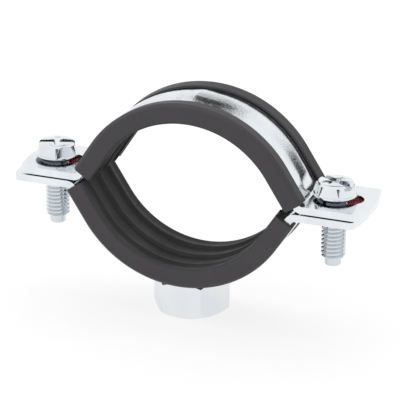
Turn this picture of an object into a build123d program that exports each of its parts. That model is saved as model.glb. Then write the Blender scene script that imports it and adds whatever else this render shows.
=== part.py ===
from build123d import *
from math import atan2, cos, degrees, radians, sin, tan
import os

# Two-screw rubber lined pipe clamp. Frame: X across the flanges, Y along the pipe, Z up, with the
# origin on the split plane at the middle of the lower half. All sizes are in millimetres.

# --- Pipe, and the arc that each half is rolled to ---
pipe_diameter = 48.3
arc_drop = 5.75            # each arc's centre lies this far past the split plane
arc_half_angle = 57.0      # degrees of arc on each side of the middle, before the straight run
upper_shift = 1.6          # the slotted upper half sits this far towards +X

# --- Bands: pressed steel strip ---
band_width = 18.6
band_thickness = 1.8
bend_radius = 1.0          # inside radius of the bend between strip and flange
flange_gap = 0.4           # between the two flanges with the screws home
flange_crown = 1.2         # how far the end's arc stands out past its corners
flange_corner = 1.1
bead_height = 1.1          # stiffening bead pressed outwards along the middle of the strip
bead_crest = 7.0           # width of its crest
bead_flank = 1.3           # width of each sloping side
bead_break = 0.35           # chamfer along the crest's edges
bead_straight = 3.6        # how far the bead keeps its full height along the straight run
bead_fade = 0.08           # height left where it has run out
root_depth = 0.3           # how far bead and collar reach into the strip that carries them

# --- Liners: extruded rubber channel, pushed over the strip's edges ---
liner_base = 2.45          # rubber between pipe and strip
liner_side = 0.8           # rubber beside the strip's edge
liner_fit = 0.06           # between rubber and steel
lip_thickness = 0.9
lip_reach = 3.2            # how far each lip reaches in over the strip
lip_taper = 0.2            # the lip thins by this much towards its edge
shoulder = 0.8             # sloping shoulder beside each lip
liner_end_height = 0.36    # pipe side of each liner's end, above the split plane
upper_liner_creep = 0.45   # each length of rubber sits a little to one side in its half
lower_liner_creep = -0.6
rib_pitch = 6.0
rib_depth = 0.85
rib_crest = 0.6
rib_flank = 0.5
dip_depth = 0.45           # shallow dip between the outer ribs and the edges
dip_flank = 1.1
edge_land = 0.1            # the edges stand this much back from the ribs
edge_bevel = 0.6

# --- Screws: M6 with a combination head, and the captive washers that hold them ---
screw_stand_off = 7.42     # from the corner where strip and flange meet out to the screw
thread_diameter = 6.0
thread_play = 0.04         # radial, between a thread's crest and what it turns in
thread_chamfer = 0.5
point_diameter = 4.0
point_length = 2.0
screw_tip = 15.6           # below the split plane
head_seat = 0.05           # between head and flange
bearing_diameter = 8.4
bearing_height = 0.35
collar_diameter = 10.8
collar_height = 0.9
collar_chamfer = 0.25
hex_foot = 9.1             # across flats where the hexagon leaves the collar
hex_top = 8.1
hex_height = 2.7
crown_diameter = 8.5       # the head's flat top, inside its chamfer
crown_drop = 0.6
crown_angle = 30.0
hex_turn = 30.0            # degrees from the slot to a corner of the hexagon
slot_width = 1.5
slot_depth = 1.3
cross_span = 5.2
cross_width = 1.3
cross_depth = 2.2
cross_taper = 0.5          # share of the cross's span left at its bottom
left_slot_angle = 21.0     # degrees from +X to each head's driving slot
right_slot_angle = -31.0
slot_hole_length = 10.0    # slotted holes of the upper flanges
slot_hole_play = 0.35      # on each side of the thread
slot_hole_land = 3.35      # flange left beyond each slotted hole
tapped_collar_wall = 1.3
tapped_collar_length = 1.6
washer_diameter = 11.6
washer_play = 0.05         # between washer and each flange

# --- Connection nut: M10 mouth with M8 behind it ---
nut_across_flats = 17.0
nut_face = 32.5            # bottom of the nut below the split plane
nut_turn = 4.0             # degrees, as it was welded on
nut_lip_gap = 0.1
nut_bottom_inset = 0.5     # from the flats in to the circle of the bottom chamfer
nut_top_overhang = 0.3     # from the flats out to the circle of the top chamfer
nut_chamfer_angle = 30.0
neck_clearance = 0.4       # between the neck and each rubber lip
neck_bite = 0.35           # how far the neck rises round the strip's curve
mouth_bore = 8.5           # tapping size of M10
mouth_depth = 4.6
inner_bore = 6.8           # tapping size of M8
inner_depth = 8.0
relief_bore = 8.0          # thread relief between the M8 thread and the strip
bore_chamfer = 0.6

pipe_radius = pipe_diameter / 2
band_inner = pipe_radius + liner_base
band_outer = band_inner + band_thickness
liner_outer = band_outer + liner_fit + lip_thickness
flange_face = flange_gap / 2
flange_back = flange_face + band_thickness
strip_axis = Axis((0, 0, -arc_drop), (0, 1, 0))


def on_straight(radius, run):
    """X and Z of a point at a radius of the strip, this far along the straight past the arc."""
    turn = radians(arc_half_angle)
    x = radius * sin(turn) + run * cos(turn)
    z = radius * cos(turn) - run * sin(turn) - arc_drop
    return x, z


def run_to_height(radius, height):
    """Length of straight on a radius of the strip that brings it down to a height."""
    turn = radians(arc_half_angle)
    return (radius * cos(turn) - arc_drop - height) / sin(turn)


back_corner = on_straight(band_outer, run_to_height(band_outer, flange_back))
face_corner = on_straight(band_inner, run_to_height(band_inner, flange_face))
liner_straight = run_to_height(pipe_radius, liner_end_height)
screw_x = back_corner[0] + screw_stand_off
flange_reach = screw_x + slot_hole_length / 2 + slot_hole_land


def radial_plane(angle):
    """Section plane across an upper half's strip, at an angle from its top towards +X."""
    turn = radians(angle)
    return Plane(origin=(0, 0, -arc_drop), x_dir=(0, 1, 0), z_dir=(cos(turn), 0, -sin(turn)))


def bead_section(plane, radius, height, crest):
    """Section of the bead, standing on a radius of the strip and rooted a little inside it."""
    foot = crest / 2 + bead_flank
    with BuildSketch(plane) as section:
        with BuildLine():
            Polyline(
                (-foot, radius - root_depth), (-foot, radius), (-crest / 2, radius + height),
                (crest / 2, radius + height), (foot, radius), (foot, radius - root_depth),
                close=True,
            )
        make_face()
        shoulders = section.vertices().group_by(Axis.Y)[-1]
        chamfer(shoulders, bead_break * height / bead_height)
    return section.sketch


def bead_half(radius, crest):
    """Half of the bead: round the arc, along the straight, and fading out before the bend."""
    arc_end = radial_plane(arc_half_angle)
    fade_run = run_to_height(band_outer, flange_back) - bend_radius
    top = bead_section(radial_plane(0), radius, bead_height, crest)
    arc_end_section = bead_section(arc_end, radius, bead_height, crest)
    full = bead_section(arc_end.offset(bead_straight), radius, bead_height, crest)
    faded = bead_section(arc_end.offset(fade_run), radius, bead_fade, crest)
    with BuildPart() as bead:
        revolve(top, axis=strip_axis, revolution_arc=arc_half_angle)
        extrude(arc_end_section, amount=bead_straight)
        loft([full, faded])
    return bead.part


def band_blank():
    """Rolled and bent strip of one half, centred on X = 0, with its bead and shaped ends."""
    flank_angle = atan2(bead_height, bead_flank)
    inner_crest = bead_crest - 2 * band_thickness * tan(flank_angle / 2)
    raised = bead_half(band_outer, bead_crest)
    hollow = bead_half(band_inner, inner_crest)
    corner = flange_reach - flange_crown
    with BuildPart() as blank:
        with BuildSketch(radial_plane(0)):
            with Locations((0, band_inner + band_thickness / 2)):
                Rectangle(band_width, band_thickness)
        revolve(axis=strip_axis, revolution_arc=arc_half_angle)
        with BuildSketch(Plane.XZ) as profile:
            with BuildLine():
                Polyline(
                    on_straight(band_outer, 0), back_corner, (flange_reach, flange_back),
                    (flange_reach, flange_face), face_corner, on_straight(band_inner, 0),
                    close=True,
                )
            make_face()
            fillet(profile.vertices().sort_by_distance((*back_corner, 0))[0], bend_radius)
            fillet(
                profile.vertices().sort_by_distance((*face_corner, 0))[0],
                bend_radius + band_thickness,
            )
        extrude(amount=band_width / 2, both=True)
        add(raised)
        add(hollow, mode=Mode.SUBTRACT)
        mirror(about=Plane.YZ)
        with BuildSketch() as plan:
            with BuildLine():
                right_end = ThreePointArc(
                    (corner, -band_width / 2), (flange_reach, 0), (corner, band_width / 2)
                )
                left_end = ThreePointArc(
                    (-corner, band_width / 2), (-flange_reach, 0), (-corner, -band_width / 2)
                )
                Line(right_end @ 1, left_end @ 0)
                Line(left_end @ 1, right_end @ 0)
            make_face()
            fillet(plan.vertices(), flange_corner)
        extrude(amount=pipe_diameter, both=True, mode=Mode.INTERSECT)
    return blank.part


def liner_section(plane):
    """Section of the rubber channel: ribs towards the pipe, lips over the strip's edges."""
    strip_edge = band_width / 2
    side = strip_edge + liner_side
    rib_side = rib_crest / 2
    groove = pipe_radius + rib_depth
    dip = pipe_radius + dip_depth
    land = pipe_radius + edge_land
    with BuildSketch(plane) as section:
        with BuildLine():
            Polyline(
                (0, pipe_radius),
                (rib_side, pipe_radius),
                (rib_side + rib_flank, groove),
                (rib_pitch - rib_side - rib_flank, groove),
                (rib_pitch - rib_side, pipe_radius),
                (rib_pitch + rib_side, pipe_radius),
                (rib_pitch + rib_side + dip_flank, dip),
                (side - edge_bevel - dip_flank, dip),
                (side - edge_bevel, land),
                (side, pipe_radius + edge_bevel),
                (side, liner_outer - shoulder),
                (side - shoulder, liner_outer),
                (strip_edge - lip_reach, liner_outer - lip_taper),
                (strip_edge - lip_reach, band_outer + liner_fit),
                (strip_edge + liner_fit, band_outer + liner_fit),
                (strip_edge + liner_fit, band_inner - liner_fit),
                (0, band_inner - liner_fit),
                close=True,
            )
        make_face()
        mirror(about=Plane.YZ)
    return section.sketch


def liner_strip(creep):
    """Rubber channel of one half, centred on X = 0, moved along its strip by the creep."""
    right_end = liner_section(radial_plane(arc_half_angle))
    left_end = liner_section(radial_plane(-arc_half_angle))
    with BuildPart() as strip:
        revolve(left_end, axis=strip_axis, revolution_arc=2 * arc_half_angle)
        extrude(right_end, amount=liner_straight + creep)
        extrude(left_end, amount=creep - liner_straight)
    return strip.part


def cross_outline(plane, span, width):
    """Outline of the cross recess on one level."""
    with BuildSketch(plane) as outline:
        Rectangle(span, width)
        Rectangle(width, span)
    return outline.sketch


def hexagon_head(axis_plane, foot_z):
    """Tapered hexagon of a screw head, its corners cut back by the cone below the flat top."""
    top_z = foot_z + hex_height
    crown_edge = crown_diameter / 2
    crown_width = crown_drop / tan(radians(crown_angle))
    with BuildPart() as hexagon:
        with BuildSketch(axis_plane.offset(foot_z - root_depth)):
            RegularPolygon(hex_foot / 2, 6, major_radius=False, rotation=hex_turn)
        with BuildSketch(axis_plane.offset(top_z)):
            RegularPolygon(hex_top / 2, 6, major_radius=False, rotation=hex_turn)
        loft()
        with BuildSketch(Plane(axis_plane.origin, x_dir=axis_plane.x_dir, z_dir=-axis_plane.y_dir)):
            with BuildLine():
                Polyline(
                    (0, foot_z - collar_height), (collar_diameter, foot_z - collar_height),
                    (crown_edge + crown_width, top_z - crown_drop), (crown_edge, top_z),
                    (0, top_z), close=True,
                )
            make_face()
        revolve(axis=Axis(axis_plane.origin, (0, 0, 1)), mode=Mode.INTERSECT)
    return hexagon.part


def combination_screw(x, slot_angle):
    """Machine screw at a place along X, with its driving slot at an angle from +X."""
    turn = radians(slot_angle)
    axis_plane = Plane(origin=(x, 0, 0), x_dir=(cos(turn), sin(turn), 0), z_dir=(0, 0, 1))
    profile_plane = Plane(origin=(x, 0, 0), x_dir=(1, 0, 0), z_dir=(0, -1, 0))
    seat = flange_back + head_seat
    collar_foot = seat + bearing_height
    hex_foot_z = collar_foot + collar_height
    top_z = hex_foot_z + hex_height
    thread_radius = thread_diameter / 2
    thread_end = point_length - screw_tip
    hexagon = hexagon_head(axis_plane, hex_foot_z)
    cross_mouth = cross_outline(axis_plane.offset(top_z), cross_span, cross_width)
    cross_floor = cross_outline(
        axis_plane.offset(top_z - cross_depth), cross_span * cross_taper, cross_width * cross_taper
    )
    with BuildPart() as screw:
        with BuildSketch(profile_plane) as profile:
            with BuildLine():
                Polyline(
                    (0, -screw_tip),
                    (point_diameter / 2, -screw_tip),
                    (point_diameter / 2, thread_end),
                    (thread_radius - thread_chamfer, thread_end),
                    (thread_radius, thread_end + thread_chamfer),
                    (thread_radius, seat),
                    (bearing_diameter / 2, seat),
                    (bearing_diameter / 2, collar_foot),
                    (collar_diameter / 2, collar_foot),
                    (collar_diameter / 2, hex_foot_z),
                    (0, hex_foot_z),
                    close=True,
                )
            make_face()
            rim = profile.vertices().group_by(Axis.X)[-1]
            chamfer(rim, collar_chamfer)
        revolve(axis=Axis((x, 0, 0), (0, 0, 1)))
        add(hexagon)
        with BuildSketch(axis_plane.offset(top_z)):
            Rectangle(collar_diameter, slot_width)
        extrude(amount=-slot_depth, mode=Mode.SUBTRACT)
        loft([cross_mouth, cross_floor], mode=Mode.SUBTRACT)
    return screw.part


def captive_washer(x):
    """Thin plastic disc between the flanges that grips a screw's thread."""
    with BuildPart() as washer:
        with BuildSketch(Plane(origin=(x, 0, 0))):
            Circle(washer_diameter / 2)
            Circle(thread_diameter / 2 + thread_play, mode=Mode.SUBTRACT)
        extrude(amount=flange_face - washer_play, both=True)
    return washer.part


# Upper band: the strip, with a slotted hole for each screw
with BuildPart(Plane.XY) as upper_band:
    with Locations((upper_shift, 0, 0)):
        add(band_blank())
    with BuildSketch(Plane.XY.offset(flange_face)):
        with Locations((upper_shift - screw_x, 0), (upper_shift + screw_x, 0)):
            SlotOverall(slot_hole_length, thread_diameter + 2 * slot_hole_play)
    extrude(amount=band_thickness, mode=Mode.SUBTRACT)
upper_band.part.label = "upper_band"

# Lower band: the same strip turned over, with a drawn and tapped collar for each screw
with BuildPart() as lower_band:
    mirror(band_blank(), about=Plane.XY)
    with BuildSketch(Plane.XY.offset(-flange_back + root_depth)):
        with Locations((-screw_x, 0), (screw_x, 0)):
            Circle(thread_diameter / 2 + tapped_collar_wall)
    extrude(amount=-tapped_collar_length - root_depth)
    with BuildSketch(Plane.XY):
        with Locations((-screw_x, 0), (screw_x, 0)):
            Circle(thread_diameter / 2 + thread_play)
    extrude(amount=-flange_back - tapped_collar_length, mode=Mode.SUBTRACT)
lower_band.part.label = "lower_band"

# Liners: the lower one is the upper form turned over
with BuildPart() as upper_liner:
    with Locations((upper_shift, 0, 0)):
        add(liner_strip(upper_liner_creep))
upper_liner.part.label = "upper_liner"

with BuildPart() as lower_liner:
    mirror(liner_strip(lower_liner_creep), about=Plane.XY)
lower_liner.part.label = "lower_liner"

# Connection nut: hexagon below the rubber lips, with a neck up to the strip between them
nut_top = arc_drop - liner_outer - nut_lip_gap
neck_top = arc_drop - band_outer + neck_bite
neck_radius = band_width / 2 - lip_reach - neck_clearance
with BuildPart() as connection_nut:
    with BuildSketch(Plane.XY.offset(-nut_face)):
        RegularPolygon(nut_across_flats / 2, 6, major_radius=False, rotation=nut_turn)
    extrude(amount=nut_top + nut_face)
    with BuildSketch(Plane.XZ):
        bottom_edge = nut_across_flats / 2 - nut_bottom_inset
        top_edge = nut_across_flats / 2 + nut_top_overhang
        corner = nut_across_flats / cos(radians(30)) / 2
        chamfer_rise = tan(radians(nut_chamfer_angle)) * (corner - bottom_edge)
        chamfer_fall = tan(radians(nut_chamfer_angle)) * (corner - top_edge)
        with BuildLine():
            Polyline(
                (0, -nut_face), (bottom_edge, -nut_face), (corner, -nut_face + chamfer_rise),
                (corner, nut_top - chamfer_fall), (top_edge, nut_top), (0, nut_top), close=True,
            )
        make_face()
    revolve(axis=Axis.Z, mode=Mode.INTERSECT)
    with BuildSketch(Plane.XY.offset(nut_top)):
        Circle(neck_radius)
    extrude(amount=neck_top - nut_top)
    add(lower_band.part, mode=Mode.SUBTRACT)
    with BuildSketch(Plane.XY.offset(-nut_face)):
        Circle(inner_bore / 2)
    extrude(amount=inner_depth, mode=Mode.SUBTRACT)
    with BuildSketch(Plane.XY.offset(inner_depth - nut_face)):
        Circle(relief_bore / 2)
    extrude(amount=neck_top + nut_face - inner_depth, mode=Mode.SUBTRACT)
    with BuildSketch(Plane.XY.offset(-nut_face)):
        Circle(mouth_bore / 2)
    extrude(amount=mouth_depth, mode=Mode.SUBTRACT)
    mouth = connection_nut.faces().sort_by(Axis.Z)[0].inner_wires().edges()
    chamfer(mouth, bore_chamfer)
connection_nut.part.label = "connection_nut"

left_screw = combination_screw(-screw_x, left_slot_angle)
left_screw.label = "left_screw"
right_screw = combination_screw(screw_x, right_slot_angle)
right_screw.label = "right_screw"
left_captive_washer = captive_washer(-screw_x)
left_captive_washer.label = "left_captive_washer"
right_captive_washer = captive_washer(screw_x)
right_captive_washer.label = "right_captive_washer"

os.makedirs("parts", exist_ok=True)
for piece in (
    upper_band.part, lower_band.part, upper_liner.part, lower_liner.part, connection_nut.part,
    left_screw, right_screw, left_captive_washer, right_captive_washer,
):
    export_step(piece, f"parts/{piece.label}.step")
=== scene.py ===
"""Rubber lined pipe clamp, modelled in full over its frame and set up in a plain studio."""

import logging
import math
from collections.abc import Callable, Sequence
from dataclasses import dataclass, field
from enum import Enum

import bmesh
import bpy
from mathutils import Matrix, Vector


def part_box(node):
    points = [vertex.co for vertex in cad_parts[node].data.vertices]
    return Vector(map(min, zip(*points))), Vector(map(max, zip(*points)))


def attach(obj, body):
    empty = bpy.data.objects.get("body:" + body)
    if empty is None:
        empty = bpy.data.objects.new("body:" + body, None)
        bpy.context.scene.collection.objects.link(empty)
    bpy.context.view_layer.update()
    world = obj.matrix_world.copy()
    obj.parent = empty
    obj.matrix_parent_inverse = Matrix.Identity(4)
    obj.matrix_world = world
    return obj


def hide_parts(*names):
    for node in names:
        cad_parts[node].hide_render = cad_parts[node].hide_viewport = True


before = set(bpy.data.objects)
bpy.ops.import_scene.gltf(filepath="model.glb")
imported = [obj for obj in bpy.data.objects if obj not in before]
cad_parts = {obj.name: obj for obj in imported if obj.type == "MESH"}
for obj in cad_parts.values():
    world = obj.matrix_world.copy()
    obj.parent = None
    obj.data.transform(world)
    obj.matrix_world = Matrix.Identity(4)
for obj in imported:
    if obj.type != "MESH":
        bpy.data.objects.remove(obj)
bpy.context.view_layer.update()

log = logging.getLogger("pipe_clamp")

MM = 0.001                    # pieces are worked in millimetres on the bench and finished in metres
MERGE = 0.0008                # bench millimetres within which two vertices are one
THREAD_DEPTH = 0.6134         # depth of a metric screw thread, in pitches
TIP_SHORTER = 0.5             # how far each screw ends above its solid's tip


# Names shared with the frame


class Body(Enum):
    """The frame's bodies."""

    LOWER_HALF = "lower_half"
    UPPER_HALF = "upper_half"
    LEFT_SCREW_SET = "left_screw_set"
    RIGHT_SCREW_SET = "right_screw_set"


class Slot(Enum):
    """The frame's material slots."""

    STRIP = "zinc_strip"
    RUBBER = "rubber"
    NUT = "zinc_nut"
    SCREW = "zinc_screw"
    WASHER = "red_plastic"


class Half(Enum):
    """The two halves of the clamp."""

    UPPER = "upper"
    LOWER = "lower"

    @property
    def body(self) -> Body:
        """The body that this half's pieces ride on."""
        return Body.UPPER_HALF if self is Half.UPPER else Body.LOWER_HALF


class Side(Enum):
    """The two ends of the clamp, each with its screw."""

    LEFT = "left"
    RIGHT = "right"

    @property
    def body(self) -> Body:
        """The body of this side's screw and washer."""
        return Body.LEFT_SCREW_SET if self is Side.LEFT else Body.RIGHT_SCREW_SET


class Pick(Enum):
    """What an edit-mode selection holds."""

    VERTICES = "VERT"
    EDGES = "EDGE"
    FACES = "FACE"


class Cut(Enum):
    """How a cutter changes the piece it is used on."""

    AWAY = "DIFFERENCE"
    KEEP_SHARED = "INTERSECT"
    WELD = "UNION"


# The bench: edit-mode work on one mesh


@dataclass
class Workpiece:
    """A mesh on the bench, in millimetres, shaped by edit-mode operators.

    Attributes:
        name: Name of the object.
        obj: The object that carries the mesh.
    """

    name: str
    obj: bpy.types.Object = field(init=False)

    def adopt(self) -> None:
        """Takes the primitive just added as this workpiece, with its place in its mesh."""
        self.obj = bpy.context.object
        self.obj.name = self.name
        self.obj.data.name = self.name
        bpy.ops.object.transform_apply(location=True, rotation=True, scale=True)

    def activate(self) -> None:
        """Makes this workpiece the only selected object."""
        bpy.ops.object.select_all(action="DESELECT")
        self.obj.select_set(True)
        bpy.context.view_layer.objects.active = self.obj

    def open(self) -> None:
        """Enters edit mode on this workpiece alone."""
        self.activate()
        bpy.ops.object.mode_set(mode="EDIT")

    def close(self) -> None:
        """Leaves edit mode."""
        bpy.ops.object.mode_set(mode="OBJECT")

    def trace(self, points: Sequence[Vector], fill: bool = True) -> None:
        """Draws a closed outline vertex by vertex and leaves the piece open in edit mode.

        Args:
            points: Corners in order, in millimetres.
            fill: Whether the outline becomes a face.
        """
        bpy.ops.object.select_all(action="DESELECT")
        bpy.ops.mesh.primitive_plane_add(size=1.0, location=points[0])
        self.adopt()
        self.open()
        self.take_all()
        bpy.ops.mesh.merge(type="CENTER")
        for start, end in zip(points, points[1:]):
            bpy.ops.mesh.extrude_region_move(TRANSFORM_OT_translate={"value": end - start})
        bpy.ops.mesh.select_all(action="SELECT")
        if fill:
            bpy.ops.mesh.edge_face_add()

    def take_all(self) -> None:
        """Selects every vertex."""
        bpy.ops.mesh.select_mode(type=Pick.VERTICES.value)
        bpy.ops.mesh.select_all(action="SELECT")

    def pick(self, kind: Pick, test: Callable[[Vector], bool]) -> int:
        """Selects the elements whose vertices all pass a test of their place.

        Args:
            kind: Vertices, edges or faces.
            test: Takes a place in millimetres and says whether it belongs.

        Returns:
            How many elements are selected.
        """
        bpy.ops.mesh.select_mode(type=kind.value)
        bpy.ops.mesh.select_all(action="DESELECT")
        mesh = bmesh.from_edit_mesh(self.obj.data)
        count = 0
        if kind is Pick.VERTICES:
            for vertex in mesh.verts:
                vertex.select_set(test(vertex.co))
                count += vertex.select
        else:
            for element in mesh.edges if kind is Pick.EDGES else mesh.faces:
                element.select_set(all(test(vertex.co) for vertex in element.verts))
                count += element.select
        mesh.select_flush_mode()
        bmesh.update_edit_mesh(self.obj.data)
        return count

    def extrude(self, travel: Vector) -> None:
        """Extrudes the selected face along a vector."""
        bpy.ops.mesh.extrude_region_move(TRANSFORM_OT_translate={"value": travel})

    def spin(self, degrees: float, axis: Vector, centre: Vector, steps: int) -> None:
        """Spins the selection, right-handed about an axis.

        Args:
            degrees: Angle of the sweep.
            axis: Direction of the axis.
            centre: A point on the axis.
            steps: Number of segments.
        """
        bpy.ops.mesh.spin(
            steps=steps, dupli=False, angle=-math.radians(degrees), center=centre, axis=axis
        )

    def round_corners(self, test: Callable[[Vector], bool], radius: float, segments: int = 3) -> None:
        """Rounds the corners of a flat outline that pass a test.

        Args:
            test: Takes a corner's place and says whether it is rounded.
            radius: How far along its edges the rounding starts.
            segments: Segments of the rounding.
        """
        self.pick(Pick.VERTICES, test)
        bpy.ops.mesh.bevel(
            offset_type="OFFSET", offset=radius, segments=segments, affect="VERTICES"
        )

    def merge(self) -> None:
        """Merges doubled vertices and points all faces outwards."""
        self.take_all()
        bpy.ops.mesh.remove_doubles(threshold=MERGE)
        bpy.ops.mesh.normals_make_consistent(inside=False)

    def modify(self, kind: str, **settings: object) -> None:
        """Adds a modifier and applies it.

        Args:
            kind: Type of the modifier.
            **settings: Its values by name.
        """
        self.activate()
        modifier = self.obj.modifiers.new(kind.lower(), kind)
        for key, value in settings.items():
            setattr(modifier, key, value)
        bpy.ops.object.modifier_apply(modifier=modifier.name)

    def cut(self, tool: "Workpiece", how: Cut) -> None:
        """Uses another workpiece on this one and throws it away.

        Args:
            tool: The cutter, or the body to weld on.
            how: What is kept.
        """
        self.modify("BOOLEAN", object=tool.obj, operation=how.value, solver="EXACT")
        bpy.data.objects.remove(tool.obj)

    def soften(self, width: float, angle: float, segments: int = 2) -> None:
        """Breaks the sharp edges and evens the normals.

        Args:
            width: Width of the broken edge.
            angle: Edges turning by more than this many degrees are broken.
            segments: Segments across the broken edge.
        """
        self.modify(
            "BEVEL", width=width, segments=segments, limit_method="ANGLE",
            angle_limit=math.radians(angle), use_clamp_overlap=True,
        )

    def flip(self) -> None:
        """Turns an upper half's piece into the lower half's, across the split plane."""
        self.place(scale=Vector((1, 1, -1)))
        self.open()
        self.merge()
        self.close()

    def place(
        self, move: Vector = Vector(), turn: Vector = Vector(), scale: Vector = Vector((1, 1, 1))
    ) -> None:
        """Moves, turns and scales the finished form, and puts the change into the mesh.

        Args:
            move: Travel in millimetres, after the turn.
            turn: Degrees about X, Y and Z.
            scale: Scale factors, before the turn.
        """
        self.activate()
        self.obj.location = move
        self.obj.rotation_euler = [math.radians(angle) for angle in turn]
        self.obj.scale = scale
        bpy.ops.object.transform_apply(location=True, rotation=True, scale=True)

    def deliver(
        self, material: bpy.types.Material, slot: Slot, body: Body, *nodes: str, smooth: float = 35.0
    ) -> None:
        """Scales the piece to metres, dresses it and mounts it on its body.

        Args:
            material: Its finish.
            slot: The material slot that it is painted from; not used.
            body: The body that it rides on.
            *nodes: The frame's nodes that it stands for.
            smooth: Faces meeting at less than this many degrees shade as one.
        """
        self.place(scale=Vector((MM, MM, MM)))
        self.activate()
        bpy.ops.object.shade_smooth_by_angle(angle=math.radians(smooth))
        self.modify("WEIGHTED_NORMAL", keep_sharp=True, weight=80)
        self.obj.data.materials.clear()
        self.obj.data.materials.append(material)
        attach(self.obj, body.value)
        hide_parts(*nodes)
        log.info("%s: %d faces on %s", self.name, len(self.obj.data.polygons), body.value)


def primitive(name: str, operator: Callable[..., set[str]], **settings: object) -> Workpiece:
    """A workpiece that starts as one of the mesh primitives.

    Args:
        name: Name of the workpiece.
        operator: The operator that adds the primitive.
        **settings: What the operator takes.

    Returns:
        The workpiece, with its place in its mesh.
    """
    bpy.ops.object.select_all(action="DESELECT")
    operator(**settings)
    piece = Workpiece(name)
    piece.adopt()
    return piece


def lathe(name: str, profile: Sequence[tuple[float, float]], steps: int = 96,
          rounds: dict[int, float] | None = None) -> Workpiece:
    """A turned form about Z.

    Args:
        name: Name of the workpiece.
        profile: Radius and height of each corner; it starts and ends on the axis, or is a ring.
        steps: Segments round the axis.
        rounds: Rounding of the corners, by their place in the profile.

    Returns:
        The turned workpiece, out of edit mode.
    """
    piece = Workpiece(name)
    corners = [Vector((radius, 0.0, height)) for radius, height in profile]
    piece.trace(corners)
    for index, radius in (rounds or {}).items():
        corner = corners[index]
        piece.round_corners(lambda place, corner=corner: (place - corner).length < MERGE, radius)
    bpy.ops.mesh.select_all(action="SELECT")
    bpy.ops.mesh.delete(type="ONLY_FACE")
    if piece.pick(Pick.EDGES, lambda place: abs(place.x) < MERGE):
        bpy.ops.mesh.delete(type="EDGE")
    piece.take_all()
    piece.spin(360.0, Vector((0, 0, 1)), Vector(), steps)
    piece.merge()
    piece.close()
    return piece


def disc(
    name: str, radius: float, low: float, high: float, steps: int = 64,
    rounds: dict[int, float] | None = None,
) -> Workpiece:
    """A plain cylinder about Z between two heights, made as lathe makes its forms."""
    return lathe(name, [(0, low), (radius, low), (radius, high), (0, high)], steps, rounds)


def threaded_rod(
    name: str, major: float, pitch: float, low: float, high: float, steps: int = 48
) -> Workpiece:
    """A rod with a metric thread, a little longer than asked so that a blank can trim it.

    Args:
        name: Name of the workpiece.
        major: Diameter over the crests.
        pitch: Advance of one turn.
        low: Lowest height that must be threaded.
        high: Highest height that must be threaded.
        steps: Segments of one turn.

    Returns:
        The closed threaded rod.
    """
    crest = major / 2
    root = crest - THREAD_DEPTH * pitch
    root_flat, crest_flat = pitch / 4, pitch / 8
    flank = (pitch - root_flat - crest_flat) / 2
    start = low - 2 * pitch
    turns = math.ceil((high - low) / pitch) + 4
    corners = [
        Vector((root, 0, start)), Vector((root, 0, start + root_flat)),
        Vector((crest, 0, start + root_flat + flank)),
        Vector((crest, 0, start + root_flat + flank + crest_flat)),
        Vector((root, 0, start + pitch)),
    ]
    rod = Workpiece(name)
    rod.trace(corners, fill=False)
    rod.close()
    rod.modify(
        "SCREW", axis="Z", angle=math.tau, screw_offset=pitch, iterations=turns, steps=steps,
        render_steps=steps, use_merge_vertices=True, merge_threshold=MERGE,
    )
    rod.open()
    bpy.ops.mesh.select_mode(type=Pick.EDGES.value)
    bpy.ops.mesh.select_all(action="DESELECT")
    bpy.ops.mesh.select_non_manifold(extend=False, use_wire=False, use_multi_face=False,
                                     use_non_contiguous=False, use_verts=False)
    bpy.ops.mesh.fill_holes(sides=0)
    rod.merge()
    rod.close()
    return rod


# Node groups shared by the finishes


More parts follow.
